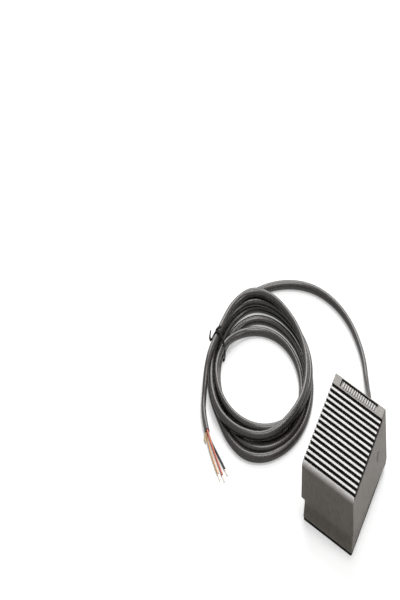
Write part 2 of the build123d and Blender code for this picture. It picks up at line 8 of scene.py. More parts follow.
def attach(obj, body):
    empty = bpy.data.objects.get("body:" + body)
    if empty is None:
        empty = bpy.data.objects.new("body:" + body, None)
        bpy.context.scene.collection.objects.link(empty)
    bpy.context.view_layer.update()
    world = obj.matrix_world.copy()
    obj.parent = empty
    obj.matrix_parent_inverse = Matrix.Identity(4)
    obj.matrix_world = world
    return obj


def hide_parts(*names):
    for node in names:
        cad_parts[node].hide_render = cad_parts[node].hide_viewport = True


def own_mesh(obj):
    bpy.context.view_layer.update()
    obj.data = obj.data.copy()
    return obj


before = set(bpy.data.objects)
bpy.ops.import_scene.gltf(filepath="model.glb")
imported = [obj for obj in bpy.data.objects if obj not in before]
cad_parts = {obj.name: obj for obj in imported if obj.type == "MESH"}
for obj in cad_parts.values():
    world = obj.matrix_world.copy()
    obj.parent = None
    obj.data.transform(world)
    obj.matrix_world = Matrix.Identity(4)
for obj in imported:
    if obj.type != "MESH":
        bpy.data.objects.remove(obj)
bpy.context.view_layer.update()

MM = 0.001

# The photograph has been squeezed sideways. Its camera looks down on the switch from the right of its toe,
# from DISTANCE metres, at a place on the floor.
# An empty with unequal scale carries the camera, and gives it that squeeze in the main view alone.

AZIMUTH = math.radians(27.896)
ELEVATION = math.radians(35.9149)
ROLL = math.radians(2.1561)
AIM = Vector((-0.2358703, 0.0718189, 0.0))
DISTANCE = 5.0011631
FOCAL_PIXELS = 3936.8103
PHOTO_HEIGHT = 600
SQUEEZE = 2.0963


def link(made):
    """Put a new object into the scene."""
    bpy.context.scene.collection.objects.link(made)
    return made


def photo_directions():
    """Where the photograph's right, its squeezed up and the way back to its camera point, one a column."""
    ahead = Vector((math.sin(AZIMUTH), -math.cos(AZIMUTH), 0.0))
    back = ahead * math.cos(ELEVATION) + Vector((0, 0, math.sin(ELEVATION)))
    level = Vector((math.cos(AZIMUTH), math.sin(AZIMUTH), 0.0))
    rise = back.cross(level)
    across = level * math.cos(ROLL) + rise * math.sin(ROLL)
    up = rise * math.cos(ROLL) - level * math.sin(ROLL)
    narrow = 1 / SQUEEZE
    leaning = up * narrow + back * math.sqrt(1 - narrow ** 2)
    return np.array([across, leaning, back], float).T, back


def make_camera():
    """Camera at the photograph's angle, sheared so that its picture is squeezed like the photograph."""
    wanted, back = photo_directions()
    turn, stretch, inner = np.linalg.svd(wanted)
    if np.linalg.det(turn) < 0:
        turn[:, 2] *= -1
        inner[2, :] *= -1
    data = bpy.data.cameras.new("camera")
    data.sensor_width = 36.0
    data.lens = FOCAL_PIXELS * data.sensor_width / PHOTO_HEIGHT
    data.clip_start = 0.1
    data.clip_end = 30.0
    camera = link(bpy.data.objects.new("camera", data))
    carrier = link(bpy.data.objects.new("camera_carrier", None))
    carrier.rotation_mode = "QUATERNION"
    carrier.rotation_quaternion = Matrix(turn.tolist()).to_quaternion()
    carrier.scale = [float(share) for share in stretch]
    carrier.location = AIM + back * DISTANCE
    camera.parent = carrier
    camera.rotation_mode = "QUATERNION"
    camera.rotation_quaternion = Matrix(inner.tolist()).to_quaternion()
    bpy.context.scene.camera = camera


make_camera()


# Cord: from the clamp inside the base, round the coil, to its stripped end. Millimetres.

CORD_DIAMETER = 6.0
CORD_ROUTE = [
    (0, 32, 11.5), (0, 75, 11.5), (-17, 101, 3.2), (-34, 127, 3.2), (-66, 150.5, 3.2),
    (-104, 157, 3.2), (-138, 147, 3.2), (-167, 125, 3.2), (-187, 97, 3.2), (-197.7, 73.3, 3.1),
]
CORD_END = [
    (-189.7, 26.9, 15.9), (-189.7, 12, 15.6), (-187.1, -1.1, 12.4), (-182.8, -13, 5.6), (-176, -28.5, 3.2),
    (-163, -41, 3.2),
]

COIL_CENTRE = (-131, 30)
TIE_ANGLE = 183
COIL_STEP = 20
# How far each loose turn lies from the coil's centre, at 203, 243, 283 and so on to 163 degrees
COIL_TURNS = [
    (60.8, 57.2, 67.8, 65.0, 64.2, 66.5, 74.0, 78.7, 60.5),
    (54.8, 51.5, 58.8, 58.5, 58.2, 60.3, 65.0, 66.0, 54.6),
    (49.0, 45.7, 49.8, 51.0, 52.2, 54.0, 55.0, 54.0, 51.0),
    (52.0, 48.4, 46.7, 49.8, 57.2, 67.0, 71.2, 77.8, 63.0),
    (57.9, 58.9, 55.1, 55.0, 57.4, 61.3, 69.0, 79.6, 61.0),
]
# The same for the two places before the turns and the two after them
BEFORE_TURNS = (79.0, 67.2)
AFTER_TURNS = (62.0, 66.0)
# The spline cuts inside its control points, so they stand a little further out
OUTWARD = 1.0155
FLOOR_LAYER = 3.1
# Where the cord climbs onto the turns below, in turns from the tie, and by how much
CLIMBS = [(2.82, 3.0, 5.8), (4.33, 4.46, 5.7)]
# How much the tie lifts the cord, and how far from the tie, in turns, it still does
TIE_LIFT = 1.1
TIE_LIFT_REACH = 0.11


def eased(share):
    """Smooth step from 0 to 1."""
    share = min(1.0, max(0.0, share))
    return share * share * (3 - 2 * share)


def coil_height(turns):
    """Height of the cord's middle, that many turns after the tie."""
    height = FLOOR_LAYER + sum(rise * eased((turns - low) / (high - low)) for low, high, rise in CLIMBS)
    from_tie = abs(turns - round(turns))
    return height + TIE_LIFT * eased(1 - from_tie / TIE_LIFT_REACH)


def on_coil(radius, height, degrees):
    """Point that far from the coil's centre."""
    turn = math.radians(degrees)
    return (COIL_CENTRE[0] + radius * math.cos(turn), COIL_CENTRE[1] + radius * math.sin(turn), height)


def coil_points():
    """Control points of the turns: each listed distance, and one on a smooth curve halfway before it."""
    radii = [*BEFORE_TURNS, *(radius for turn in COIL_TURNS for radius in turn), *AFTER_TURNS]
    points = []
    for place in range(len(COIL_TURNS) * len(COIL_TURNS[0])):
        before, here, there, after = radii[place:place + 4]
        between_two = (9 * (here + there) - before - after) / 16
        for radius, step in ((between_two, 2 * place), (there, 2 * place + 1)):
            degrees = COIL_STEP * step
            points.append(on_coil(radius * OUTWARD, coil_height(degrees / 360), TIE_ANGLE + degrees))
    return points


def smooth_curve(name, points, diameter=0.0, smoothness=6):
    """Spline whose control points are in millimetres, round if it has a diameter."""
    data = bpy.data.curves.new(name, "CURVE")
    data.dimensions = "3D"
    spline = data.splines.new("NURBS")
    spline.points.add(len(points) - 1)
    for held, point in zip(spline.points, points):
        held.co = (point[0] * MM, point[1] * MM, point[2] * MM, 1)
        held.radius = MM
    spline.order_u = 3
    spline.use_endpoint_u = True
    spline.resolution_u = smoothness
    data.bevel_depth = diameter / 2
    data.bevel_resolution = 4
    data.use_fill_caps = diameter > 0
    return link(bpy.data.objects.new(name, data))


onto_coil = on_coil(BEFORE_TURNS[-1], FLOOR_LAYER, TIE_ANGLE - COIL_STEP)
cord_line = CORD_ROUTE + [onto_coil] + coil_points() + CORD_END
cord = smooth_curve("cord", cord_line, CORD_DIAMETER, smoothness=10)


# Materials. Each is laid on by the piece's own coordinates, in metres.

class Finish:
    """A new material, with short ways to add its nodes."""

    def __init__(self, name):
        self.made = bpy.data.materials.new(name)
        self.made.use_nodes = True
        self.tree = self.made.node_tree
        self.shader = self.tree.nodes["Principled BSDF"]
        self.where = self.add("ShaderNodeTexCoord").outputs["Object"]

    def add(self, kind, **settings):
        """New node with those settings."""
        node = self.tree.nodes.new(kind)
        for key, value in settings.items():
            setattr(node, key, value)
        return node

    def feed(self, socket, value):
        """Give a socket a number, a colour or what another socket says."""
        if isinstance(value, (int, float)):
            socket.default_value = value
        elif isinstance(value, tuple):
            socket.default_value = (*value, 1)
        else:
            self.tree.links.new(value, socket)

    def noise(self, scale, detail=3.0, where=None):
        """Cloudy noise with that many features to the metre."""
        node = self.add("ShaderNodeTexNoise")
        node.inputs["Scale"].default_value = scale
        node.inputs["Detail"].default_value = detail
        node.inputs["Roughness"].default_value = 0.6
        self.feed(node.inputs["Vector"], where or self.where)
        return node.outputs["Fac"]

    def spread(self, value, low, high, from_low=0.3, from_high=0.7):
        """A value, held between its own two limits, mapped onto low to high."""
        node = self.add("ShaderNodeMapRange")
        limits = (("From Min", from_low), ("From Max", from_high), ("To Min", low), ("To Max", high))
        for socket, limit in limits:
            node.inputs[socket].default_value = limit
        self.feed(node.inputs["Value"], value)
        return node.outputs["Result"]

    def blend(self, share, first, second):
        """Colour between two colours."""
        node = self.add("ShaderNodeMix", data_type="RGBA")
        self.feed(node.inputs["Factor"], share)
        self.feed(node.inputs["A"], first)
        self.feed(node.inputs["B"], second)
        return node.outputs["Result"]

    def calc(self, operation, first, second=0.0):
        """One step of arithmetic."""
        node = self.add("ShaderNodeMath", operation=operation)
        self.feed(node.inputs[0], first)
        self.feed(node.inputs[1], second)
        return node.outputs["Value"]

    def times(self, *values):
        """Product of several values."""
        product = values[0]
        for value in values[1:]:
            product = self.calc("MULTIPLY", product, value)
        return product

    def axes(self):
        """The three coordinates one by one."""
        node = self.add("ShaderNodeSeparateXYZ")
        self.feed(node.inputs["Vector"], self.where)
        return [node.outputs[axis] for axis in "XYZ"]

    def within(self, value, half_width, middle=0.0):
        """1 where a coordinate is that near the middle, else 0."""
        return self.calc("LESS_THAN", self.calc("ABSOLUTE", self.calc("SUBTRACT", value, middle)), half_width)

    def edges(self, radius):
        """0 on flat faces, towards 1 on sharp outer and inner edges."""
        soft = self.add("ShaderNodeBevel", samples=4)
        soft.inputs["Radius"].default_value = radius
        hard = self.add("ShaderNodeNewGeometry")
        turned = self.add("ShaderNodeVectorMath", operation="DOT_PRODUCT")
        self.feed(turned.inputs[0], soft.outputs["Normal"])
        self.feed(turned.inputs[1], hard.outputs["Normal"])
        return self.spread(turned.outputs["Value"], 1, 0, 0.80, 0.995)

    def bump(self, height, depth):
        """Relief of that depth in metres."""
        node = self.add("ShaderNodeBump")
        node.inputs["Distance"].default_value = depth
        self.feed(node.inputs["Height"], height)
        self.feed(self.shader.inputs["Normal"], node.outputs["Normal"])

    def done(self, colour, rough, metallic=0.0, specular=0.5):
        """Feed the shader and hand over the material."""
        self.feed(self.shader.inputs["Base Color"], colour)
        self.feed(self.shader.inputs["Roughness"], rough)
        self.shader.inputs["Metallic"].default_value = metallic
        self.shader.inputs["Specular IOR Level"].default_value = specular
        return self.made


def shade(colour, factor):
    """The same colour, lighter or darker."""
    return tuple(min(1.0, part * factor) for part in colour)


ENAMEL_GREY = (0.150, 0.132, 0.111)
# Pale enamel: worn bare in places, and also painted highlight on the rib crests and the nose
WORN_AND_LIT_ENAMEL = (0.54, 0.53, 0.51)
ENAMEL_SPECULAR = 0.4
# Painted shade for the grooves and the walls of the name recess
GROOVE_SHADE = (0.006, 0.0055, 0.005)
RECESS_GREY = (0.20, 0.19, 0.18)

# The cover's sizes that its wear, painted highlights and painted shade follow, the first three in millimetres
# and the rest in metres.
# Depths are measured down from the sloping roof.
COVER_LENGTH = 95
COVER_HEEL = 40.5
COVER_TOE = 37.5
COVER_SLOPE = (COVER_HEEL - COVER_TOE) / COVER_LENGTH
COVER_MIDDLE = (COVER_HEEL + COVER_TOE) / 2 * MM
TREAD_MIDDLE = -3.6 * MM
TREAD_HALF_LENGTH = 0.0397
TREAD_HALF_WIDTH = 0.0336
GROOVE_PITCH = 5.45 * MM
# Where a rib's pale crest, partly wear and partly painted highlight, starts and where it is full, in pitches
# from the middle of a groove
CREST_EDGES = (0.305, 0.34)
NOSE_START = -43.2 * MM
NOSE_PALE_DEPTHS = (0.0004, 0.0030)
RECESS_MIDDLE = 41.5 * MM
RECESS_HALF_SIZE = (0.0242, 0.0042)
RECESS_FLOOR_HALF_SIZE = (0.0235, 0.0036)
BAR_WEAR_HEIGHTS = (0.0392, 0.0397)
# How deep the painted shade reaches below the roof
DEEPEST_SHADE = 0.0022


def enamelled(finish):
    """Tone, gloss and relief of baked enamel on a die casting."""
    clouds = finish.noise(40, 4.0)
    mottling = finish.noise(260, 5.0)
    peel = finish.noise(900, 2.0)
    pits = finish.noise(2300, 1.0)
    specks = finish.noise(3600, 1.0)
    tone = finish.blend(finish.spread(clouds, 0, 1), shade(ENAMEL_GREY, 0.88), shade(ENAMEL_GREY, 1.10))
    tone = finish.blend(finish.spread(mottling, 0, 0.65, 0.42, 0.66), tone, shade(ENAMEL_GREY, 0.66))
    tone = finish.blend(finish.spread(specks, 0, 0.35, 0.60, 0.72), tone, shade(ENAMEL_GREY, 1.7))
    tone = finish.blend(finish.spread(pits, 0, 0.4, 0.62, 0.74), tone, shade(ENAMEL_GREY, 0.5))
    gloss = finish.spread(clouds, 0.34, 0.42)
    finish.bump(finish.calc("ADD", peel, finish.times(specks, 0.5)), 0.00005)
    return tone, gloss


def rubbed(finish, tone, amount):
    """Enamel rubbed pale in patches along its edges."""
    patches = finish.spread(finish.noise(220, 5.0), 0, amount, 0.42, 0.62)
    return finish.blend(finish.times(finish.edges(0.0007), patches), tone, shade(WORN_AND_LIT_ENAMEL, 0.8))


def near_roof(finish, depth):
    """1 as deep as the painted shade goes, else 0, so that the cover's inside is not darkened."""
    return finish.calc("LESS_THAN", depth, DEEPEST_SHADE)


def crest_wear_and_highlight(finish, y, depth, tread):
    """How pale each place of the tread is painted, partly as wear and partly as painted highlight: 1 along
    the middle of a rib's crest, 0 in the grooves.
    """
    ribs = finish.calc("ADD", finish.times(finish.calc("SUBTRACT", y, TREAD_MIDDLE), 1 / GROOVE_PITCH), 0.5)
    from_groove = finish.calc("ABSOLUTE", finish.calc("SUBTRACT", finish.calc("FRACT", ribs), 0.5))
    on_top = finish.times(finish.spread(depth, 1, 0, 0.00001, 0.00005), tread)
    return finish.times(on_top, finish.spread(from_groove, 0, 1, *CREST_EDGES))


def worn_and_shaded_tread(finish, tone, scuffs_and_sheen, axes, depth):
    """Tone of the tread: pale crests that are partly wear and partly painted highlight, painted shade on
    their edges and in the grooves, and the sunk part.
    """
    x, y, _ = axes
    along = finish.within(y, TREAD_HALF_LENGTH, TREAD_MIDDLE)
    tread = finish.times(along, finish.within(x, TREAD_HALF_WIDTH))
    sunk = finish.times(finish.spread(depth, 0, 1, 0.00002, 0.00010), near_roof(finish, depth), tread)
    dust = finish.spread(finish.noise(700, 4.0), 0, 0.10, 0.5, 0.8)
    crest = crest_wear_and_highlight(finish, y, depth, tread)
    # Crests painted pale: partly wear, partly painted highlight
    tone = finish.blend(finish.times(crest, scuffs_and_sheen), tone, WORN_AND_LIT_ENAMEL)
    # Painted shade in the grooves, patchy with the enamel's own grey
    tone = finish.blend(sunk, tone, finish.blend(dust, GROOVE_SHADE, ENAMEL_GREY))
    # Painted shade along the rib edges beside the grooves
    at_roof = finish.calc("LESS_THAN", depth, 0.0001)
    rib_edge_shade = finish.times(finish.calc("SUBTRACT", 1.0, crest), tread, at_roof)
    return finish.blend(rib_edge_shade, tone, shade(ENAMEL_GREY, 0.35)), sunk


def worn_and_lit_nose(finish, tone, scuffs_and_sheen, y, depth):
    """Enamel painted pale where the roof turns down at the toe: partly wear, partly painted highlight."""
    at_toe = finish.calc("LESS_THAN", y, NOSE_START)
    nose = finish.times(at_toe, finish.spread(depth, 1, 0, *NOSE_PALE_DEPTHS))
    return finish.blend(finish.times(nose, scuffs_and_sheen, 0.95), tone, shade(WORN_AND_LIT_ENAMEL, 0.92))


def shaded_recess(finish, tone, axes, depth):
    """Name recess with painted shade on its walls round a lighter floor."""
    x, y, _ = axes
    place, floor = [
        finish.times(finish.within(y, half_length, RECESS_MIDDLE), finish.within(x, half_width))
        for half_width, half_length in (RECESS_HALF_SIZE, RECESS_FLOOR_HALF_SIZE)
    ]
    # Painted shade on the recess walls; the floor keeps a lighter grey
    recess = finish.times(finish.spread(depth, 0, 1, 0.0001, 0.0002), near_roof(finish, depth), place)
    unshaded_floor = finish.times(floor, finish.spread(depth, 0, 1, 0.0011, 0.0013))
    return finish.blend(recess, tone, finish.blend(unshaded_floor, GROOVE_SHADE, RECESS_GREY))


def cover_enamel():
    """Enamel of the pedal cover, with its wear, painted highlights on the crests and nose, and painted shade
    in the grooves and the name recess.
    """
    finish = Finish("cover_enamel")
    tone, gloss = enamelled(finish)
    axes = finish.axes()
    roof = finish.calc("ADD", finish.times(axes[1], COVER_SLOPE), COVER_MIDDLE)
    depth = finish.calc("SUBTRACT", roof, axes[2])
    # Patches in the pale crests and nose, which are partly wear and partly painted highlight
    scuffs_and_sheen = finish.spread(finish.noise(130, 5.0), 0.72, 1.0, 0.35, 0.6)
    tone, sunk = worn_and_shaded_tread(finish, tone, scuffs_and_sheen, axes, depth)
    tone = worn_and_lit_nose(finish, tone, scuffs_and_sheen, axes[1], depth)
    tone = shaded_recess(finish, tone, axes, depth)
    gloss = finish.calc("ADD", gloss, finish.times(sunk, 0.4))
    return finish.done(rubbed(finish, tone, 0.55), gloss, specular=ENAMEL_SPECULAR)


def base_enamel():
    """Enamel of the base, with less wear than the cover's."""
    finish = Finish("base_enamel")
    tone, gloss = enamelled(finish)
    return finish.done(rubbed(finish, tone, 0.35), gloss, specular=ENAMEL_SPECULAR)


def bar_enamel():
    """Enamel of the raised bars in the name recess, rubbed pale on top."""
    finish = Finish("bar_enamel")
    tone, gloss = enamelled(finish)
    z = finish.axes()[2]
    rubbed_top = finish.spread(z, 0, 0.7, *BAR_WEAR_HEIGHTS)
    return finish.done(finish.blend(rubbed_top, tone, WORN_AND_LIT_ENAMEL), gloss, specular=ENAMEL_SPECULAR)


def moulded(name, colour, rough, blotch=0.12, blotch_scale=60, grain_scale=2500, grain=0.00003, specular=0.5):
    """Rubber or plastic with slow changes of tone and gloss, and a fine grain."""
    finish = Finish(name)
    slow = finish.noise(blotch_scale)
    tone = finish.blend(finish.spread(slow, 0, 1), shade(colour, 1 - blotch), shade(colour, 1 + blotch))
    dust = finish.spread(finish.noise(1800, 3.0), 0, 0.12, 0.56, 0.72)
    tone = finish.blend(dust, tone, shade(colour, 2.2))
    finish.bump(finish.noise(grain_scale, 2.0), grain)
    return finish.done(tone, finish.spread(slow, rough - 0.06, rough + 0.06), specular=specular)


TARNISH = 0.2


def metal(name, colour, rough, streaks=(300, 300, 2500)):
    """Drawn or plated metal, streaked one way and tarnished in clouds."""
    finish = Finish(name)
    stretched = finish.add("ShaderNodeMapping")
    stretched.inputs["Scale"].default_value = streaks
    finish.feed(stretched.inputs["Vector"], finish.where)
    lines = finish.noise(1.0, 3.0, stretched.outputs["Vector"])
    clouds = finish.noise(240, 4.0)
    dull = shade(colour, 1 - TARNISH)
    tone = finish.blend(finish.spread(clouds, 0, 1), dull, shade(colour, 1 + TARNISH / 2))
    brushed = finish.spread(lines, rough - 0.06, rough + 0.08)
    gloss = finish.calc("ADD", brushed, finish.spread(clouds, 0, 0.06))
    finish.bump(lines, 0.00001)
    return finish.done(tone, gloss, metallic=1.0)


JACKET_GREY = (0.030, 0.0262, 0.0235)
FLOOR_DUST = (0.12, 0.11, 0.10)


def cord_jacket():
    """Satin PVC jacket: a fine grain, and floor dust that greys it in places."""
    finish = Finish("cord_jacket")
    slow = finish.noise(28, 4.0)
    tone = finish.blend(finish.spread(slow, 0, 1), shade(JACKET_GREY, 0.78), shade(JACKET_GREY, 1.25))
    dust = finish.spread(finish.noise(420, 5.0), 0, 0.30, 0.52, 0.70)
    tone = finish.blend(dust, tone, FLOOR_DUST)
    finish.bump(finish.noise(1500, 3.0), 0.00005)
    return finish.done(tone, finish.spread(slow, 0.20, 0.30), specular=0.45)


FINISHES = {
    "cover_enamel": cover_enamel(),
    "base_enamel": base_enamel(),
    "bar_enamel": bar_enamel(),
    "pad_rubber": moulded("pad_rubber", (0.010, 0.010, 0.010), 0.74, grain=0.0001, specular=0.1),
    "pin_steel": metal("pin_steel", (0.145, 0.135, 0.125), 0.40),
    "spring_steel": metal("spring_steel", (0.50, 0.49, 0.47), 0.28),
    "phenolic": moulded("phenolic", (0.022, 0.020, 0.019), 0.45, grain_scale=1200, grain=0.00005),
    "brass": metal("brass", (0.66, 0.48, 0.22), 0.30),
    "tinned_brass": metal("tinned_brass", (0.62, 0.58, 0.50), 0.34),
    "zinc": metal("zinc", (0.48, 0.48, 0.45), 0.36, streaks=(900, 900, 900)),
    "relief": moulded("relief", (0.045, 0.042, 0.040), 0.50),
    "jacket": cord_jacket(),
    "tie_black": moulded("tie_black", (0.006, 0.006, 0.006), 0.50, grain=0.00002, specular=0.15),
    "wire_black": moulded("wire_black", (0.015, 0.014, 0.014), 0.32),
    "wire_red": moulded("wire_red", (0.50, 0.125, 0.07), 0.34, blotch_scale=300),
    "wire_tan": moulded("wire_tan", (0.60, 0.36, 0.19), 0.36, blotch_scale=300),
    "tinned_copper": metal("tinned_copper", (0.78, 0.72, 0.64), 0.30, streaks=(2500, 2500, 2500)),
    "filler": moulded("filler", (0.66, 0.55, 0.33), 0.85, blotch=0.25, blotch_scale=900, grain=0.0002),
    "nylon_red": moulded("nylon_red", (0.42, 0.045, 0.035), 0.38),
}

FINISHES_OF_NODES = {
    "cover_enamel": ["pedal_cover"],
    "base_enamel": ["base_shell"],
    "pad_rubber": ["base_pad"],
    "pin_steel": ["hinge_pin", "pin_cap"],
    "spring_steel": ["return_spring", "switch_lever"],
    "phenolic": ["switch_case", "switch_cover"],
    "nylon_red": ["switch_button"],
    "brass": ["terminal_common", "terminal_open", "terminal_closed"],
    "tinned_brass": ["push_on_connectors"],
    "zinc": [
        "switch_bracket", "switch_screws", "switch_nuts", "bracket_screws", "clamp_screws", "cord_clamp",
    ],
    "relief": ["strain_relief"],
    "wire_black": ["lead_common"],
    "wire_red": ["lead_open"],
    "wire_tan": ["lead_closed"],
}


def coat(piece, finish):
    """Give a piece its only material."""
    piece.data.materials.clear()
    piece.data.materials.append(FINISHES[finish])


for finish_name, node_names in FINISHES_OF_NODES.items():
    for node_name in node_names:
        coat(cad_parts[node_name], finish_name)


def fit_out(piece, finish, body="base"):
    """Give a new piece its material and the body that carries it."""
    coat(piece, finish)
    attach(piece, body)
    return piece


fit_out(cord, "jacket")
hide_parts("cord_run", "cord_coil", "cord_tail")


# Twist tie round the turns: a thin ribbon with a wire inside, crossed on top, with one end curled

TIE_ROUTE = [
    (-198.3, 30.8, 17), (-199.2, 29.5, 13.2), (-196.1, 27.5, 12.5), (-194.3, 29, 15), (-192.2, 30.9, 18.2),
    (-189, 32.6, 19.7), (-184, 33.2, 17.2), (-180, 33.3, 11), (-178.7, 33.2, 5), (-179.4, 33.2, 1.0),
    (-182, 33.2, 0.67), (-195, 33.2, 0.67), (-198.6, 33.2, 1.3), (-198.2, 33.2, 6), (-194.6, 33.3, 13),
    (-191.8, 33.8, 19.2), (-189, 34.6, 20.4), (-186.5, 36.5, 21.2),
]
TIE_HALF_WIDTH = 1.45
# Ribbon section, as shares of half its width: across it and through it
TIE_SECTION = [
    (1.0, 0.0), (0.92, 0.22), (0.40, 0.26), (0.24, 0.40), (0.0, 0.45), (-0.24, 0.40), (-0.40, 0.26),
    (-0.92, 0.22), (-1.0, 0.0), (-0.92, -0.22), (-0.40, -0.26), (-0.24, -0.40), (0.0, -0.45), (0.24, -0.40),
    (0.40, -0.26), (0.92, -0.22),
]


def line_along(points):
    """Points of the smooth spline with those control points, in metres."""
    route = smooth_curve("route", points)
    bpy.context.view_layer.update()
    drawn = bpy.data.meshes.new_from_object(route.evaluated_get(bpy.context.evaluated_depsgraph_get()))
    line = [vertex.co.copy() for vertex in drawn.vertices]
    bpy.data.objects.remove(route)
    bpy.data.meshes.remove(drawn)
    return line


def swept(name, line, section, width_axis, twist=0.0, taper=None):
    """Closed ribbon or strand with that section, in millimetres, along a line in metres."""
    shape = bmesh.new()
    rings = []
    for place, centre in enumerate(line):
        ahead = (line[min(place + 1, len(line) - 1)] - line[max(place - 1, 0)]).normalized()
        through = ahead.cross(Vector(width_axis)).normalized()
        across = through.cross(ahead)
        spin = Matrix.Rotation(twist * place, 3, ahead)
        size = MM * (taper[place] if taper else 1.0)
        offsets = [spin @ (across * (u * size) + through * (v * size)) for u, v in section]
        rings.append([shape.verts.new(centre + offset) for offset in offsets])
    sides = len(section)
    for first, second in zip(rings, rings[1:]):
        for k in range(sides):
            shape.faces.new((first[k], first[(k + 1) % sides], second[(k + 1) % sides], second[k]))
    shape.faces.new(rings[0])
    shape.faces.new(rings[-1])
    bmesh.ops.recalc_face_normals(shape, faces=shape.faces)
    for face in shape.faces:
        face.smooth = True
    data = bpy.data.meshes.new(name)
    shape.to_mesh(data)
    shape.free()
    return link(bpy.data.objects.new(name, data))


ribbon = [(u * TIE_HALF_WIDTH, v * TIE_HALF_WIDTH) for u, v in TIE_SECTION]
tie = swept("twist_tie", line_along(TIE_ROUTE), ribbon, (0, 1, 0))
fit_out(tie, "tie_black")
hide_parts("cord_tie")


# Stripped end: the three conductors on the floor, and the fibre filler cut short between them

WIRE_DIAMETER = 2.2
WIRE_ROUTES = {
    "wire_tan": [(-163.99, -42.06, 2.2), (-159.6, -46.14, 2.2), (-148.0, -56.2, 1.2), (-135.0, -65.4, 1.2)],
    "wire_red": [(-163.0, -41.0, 4.7), (-158.6, -45.08, 4.7), (-146.0, -52.4, 1.2), (-130.0, -63.6, 1.2)],
    "wire_black": [(-162.01, -39.94, 2.2), (-157.6, -44.02, 2.2), (-144.0, -50.0, 1.2), (-130.0, -57.2, 1.2)],
}
for wire_name, wire_route in WIRE_ROUTES.items():
    wire = smooth_curve(wire_name + "_end", wire_route, WIRE_DIAMETER)
    fit_out(wire, wire_name)
    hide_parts(wire_name)

FILLER_ROUTES = [
    [(-163.6, -40.6, 3.4), (-164.2, -42.6, 3.2), (-163.6, -45.2, 1.9), (-162.4, -47.6, 1.1)],
    [(-163.2, -40.8, 3.0), (-163.6, -43.0, 2.6), (-162.2, -45.4, 1.4), (-161.6, -48.4, 0.9)],
    [(-163.9, -40.9, 2.8), (-165.0, -42.6, 2.0), (-164.8, -45.0, 1.0), (-164.2, -46.8, 0.8)],
]
# Turn of the filler's section from one point to the next, in radians, and how much thinner its end is
FILLER_TWIST = 0.35
FILLER_THINNING = 0.35
FILLER_SECTION = [(0.85, 0.0), (0.45, 0.5), (-0.3, 0.75), (-0.8, 0.2), (-0.55, -0.5), (0.3, -0.65)]
for number, filler_route in enumerate(FILLER_ROUTES, 1):
    filler_line = line_along(filler_route)
    thinning = [1.0 - FILLER_THINNING * place / len(filler_line) for place in range(len(filler_line))]
    filler = swept(f"filler_{number}", filler_line, FILLER_SECTION, (0, 0, 1), FILLER_TWIST, thinning)
    fit_out(filler, "filler")

TIP_LENGTH = 7.0
TIP_STEPS = 10
# The part of a tip that starts inside the conductor
TIP_INSIDE = 0.1
OUTER_STRANDS = 6
STRAND_RADIUS = 0.2
# Where the corners of a strand's section lie round it, in radians
STRAND_CORNERS = (0, 1.05, 2.09, 3.14, 4.19, 5.24)
STRAND_SECTION = [(STRAND_RADIUS * math.cos(turn), STRAND_RADIUS * math.sin(turn)) for turn in STRAND_CORNERS]
STRAND_SPREAD = 0.38
STRAND_TURNS = 0.8
FRAYING = 0.5


def bare_strands(end, before):
    """One strand with six twisted round it, which go on from the end of a conductor and fray a little."""
    start = Vector(end) * MM
    ahead = (start - Vector(before) * MM).normalized()
    side = ahead.cross(Vector((0, 0, 1))).normalized()
    strands = []
    for number in range(OUTER_STRANDS + 1):
        line = []
        for step in range(TIP_STEPS + 1):
            share = step / TIP_STEPS
            turn = math.radians(360 / OUTER_STRANDS * number) + 2 * math.pi * STRAND_TURNS * share
            frayed = 1 + FRAYING * share ** 3 * (number % 3)
            away = STRAND_SPREAD * MM * frayed if number < OUTER_STRANDS else 0.0
            outward = Matrix.Rotation(turn, 3, ahead) @ side * away
            line.append(start + ahead * (TIP_LENGTH * MM * (share - TIP_INSIDE)) + outward)
        strands.append(swept("strand", line, STRAND_SECTION, (0, 0, 1)))
    return strands


def joined(name, parts):
    """One object of several."""
    whole = bmesh.new()
    for part in parts:
        whole.from_mesh(part.data)
        bpy.data.objects.remove(part)
    data = bpy.data.meshes.new(name)
    whole.to_mesh(data)
    whole.free()
    return link(bpy.data.objects.new(name, data))


all_strands = [strand for route in WIRE_ROUTES.values() for strand in bare_strands(route[-1], route[-2])]
tips = joined("bare_strands", all_strands)
fit_out(tips, "tinned_copper")
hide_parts("bare_tips")


# Pieces that repeat, made by geometry nodes

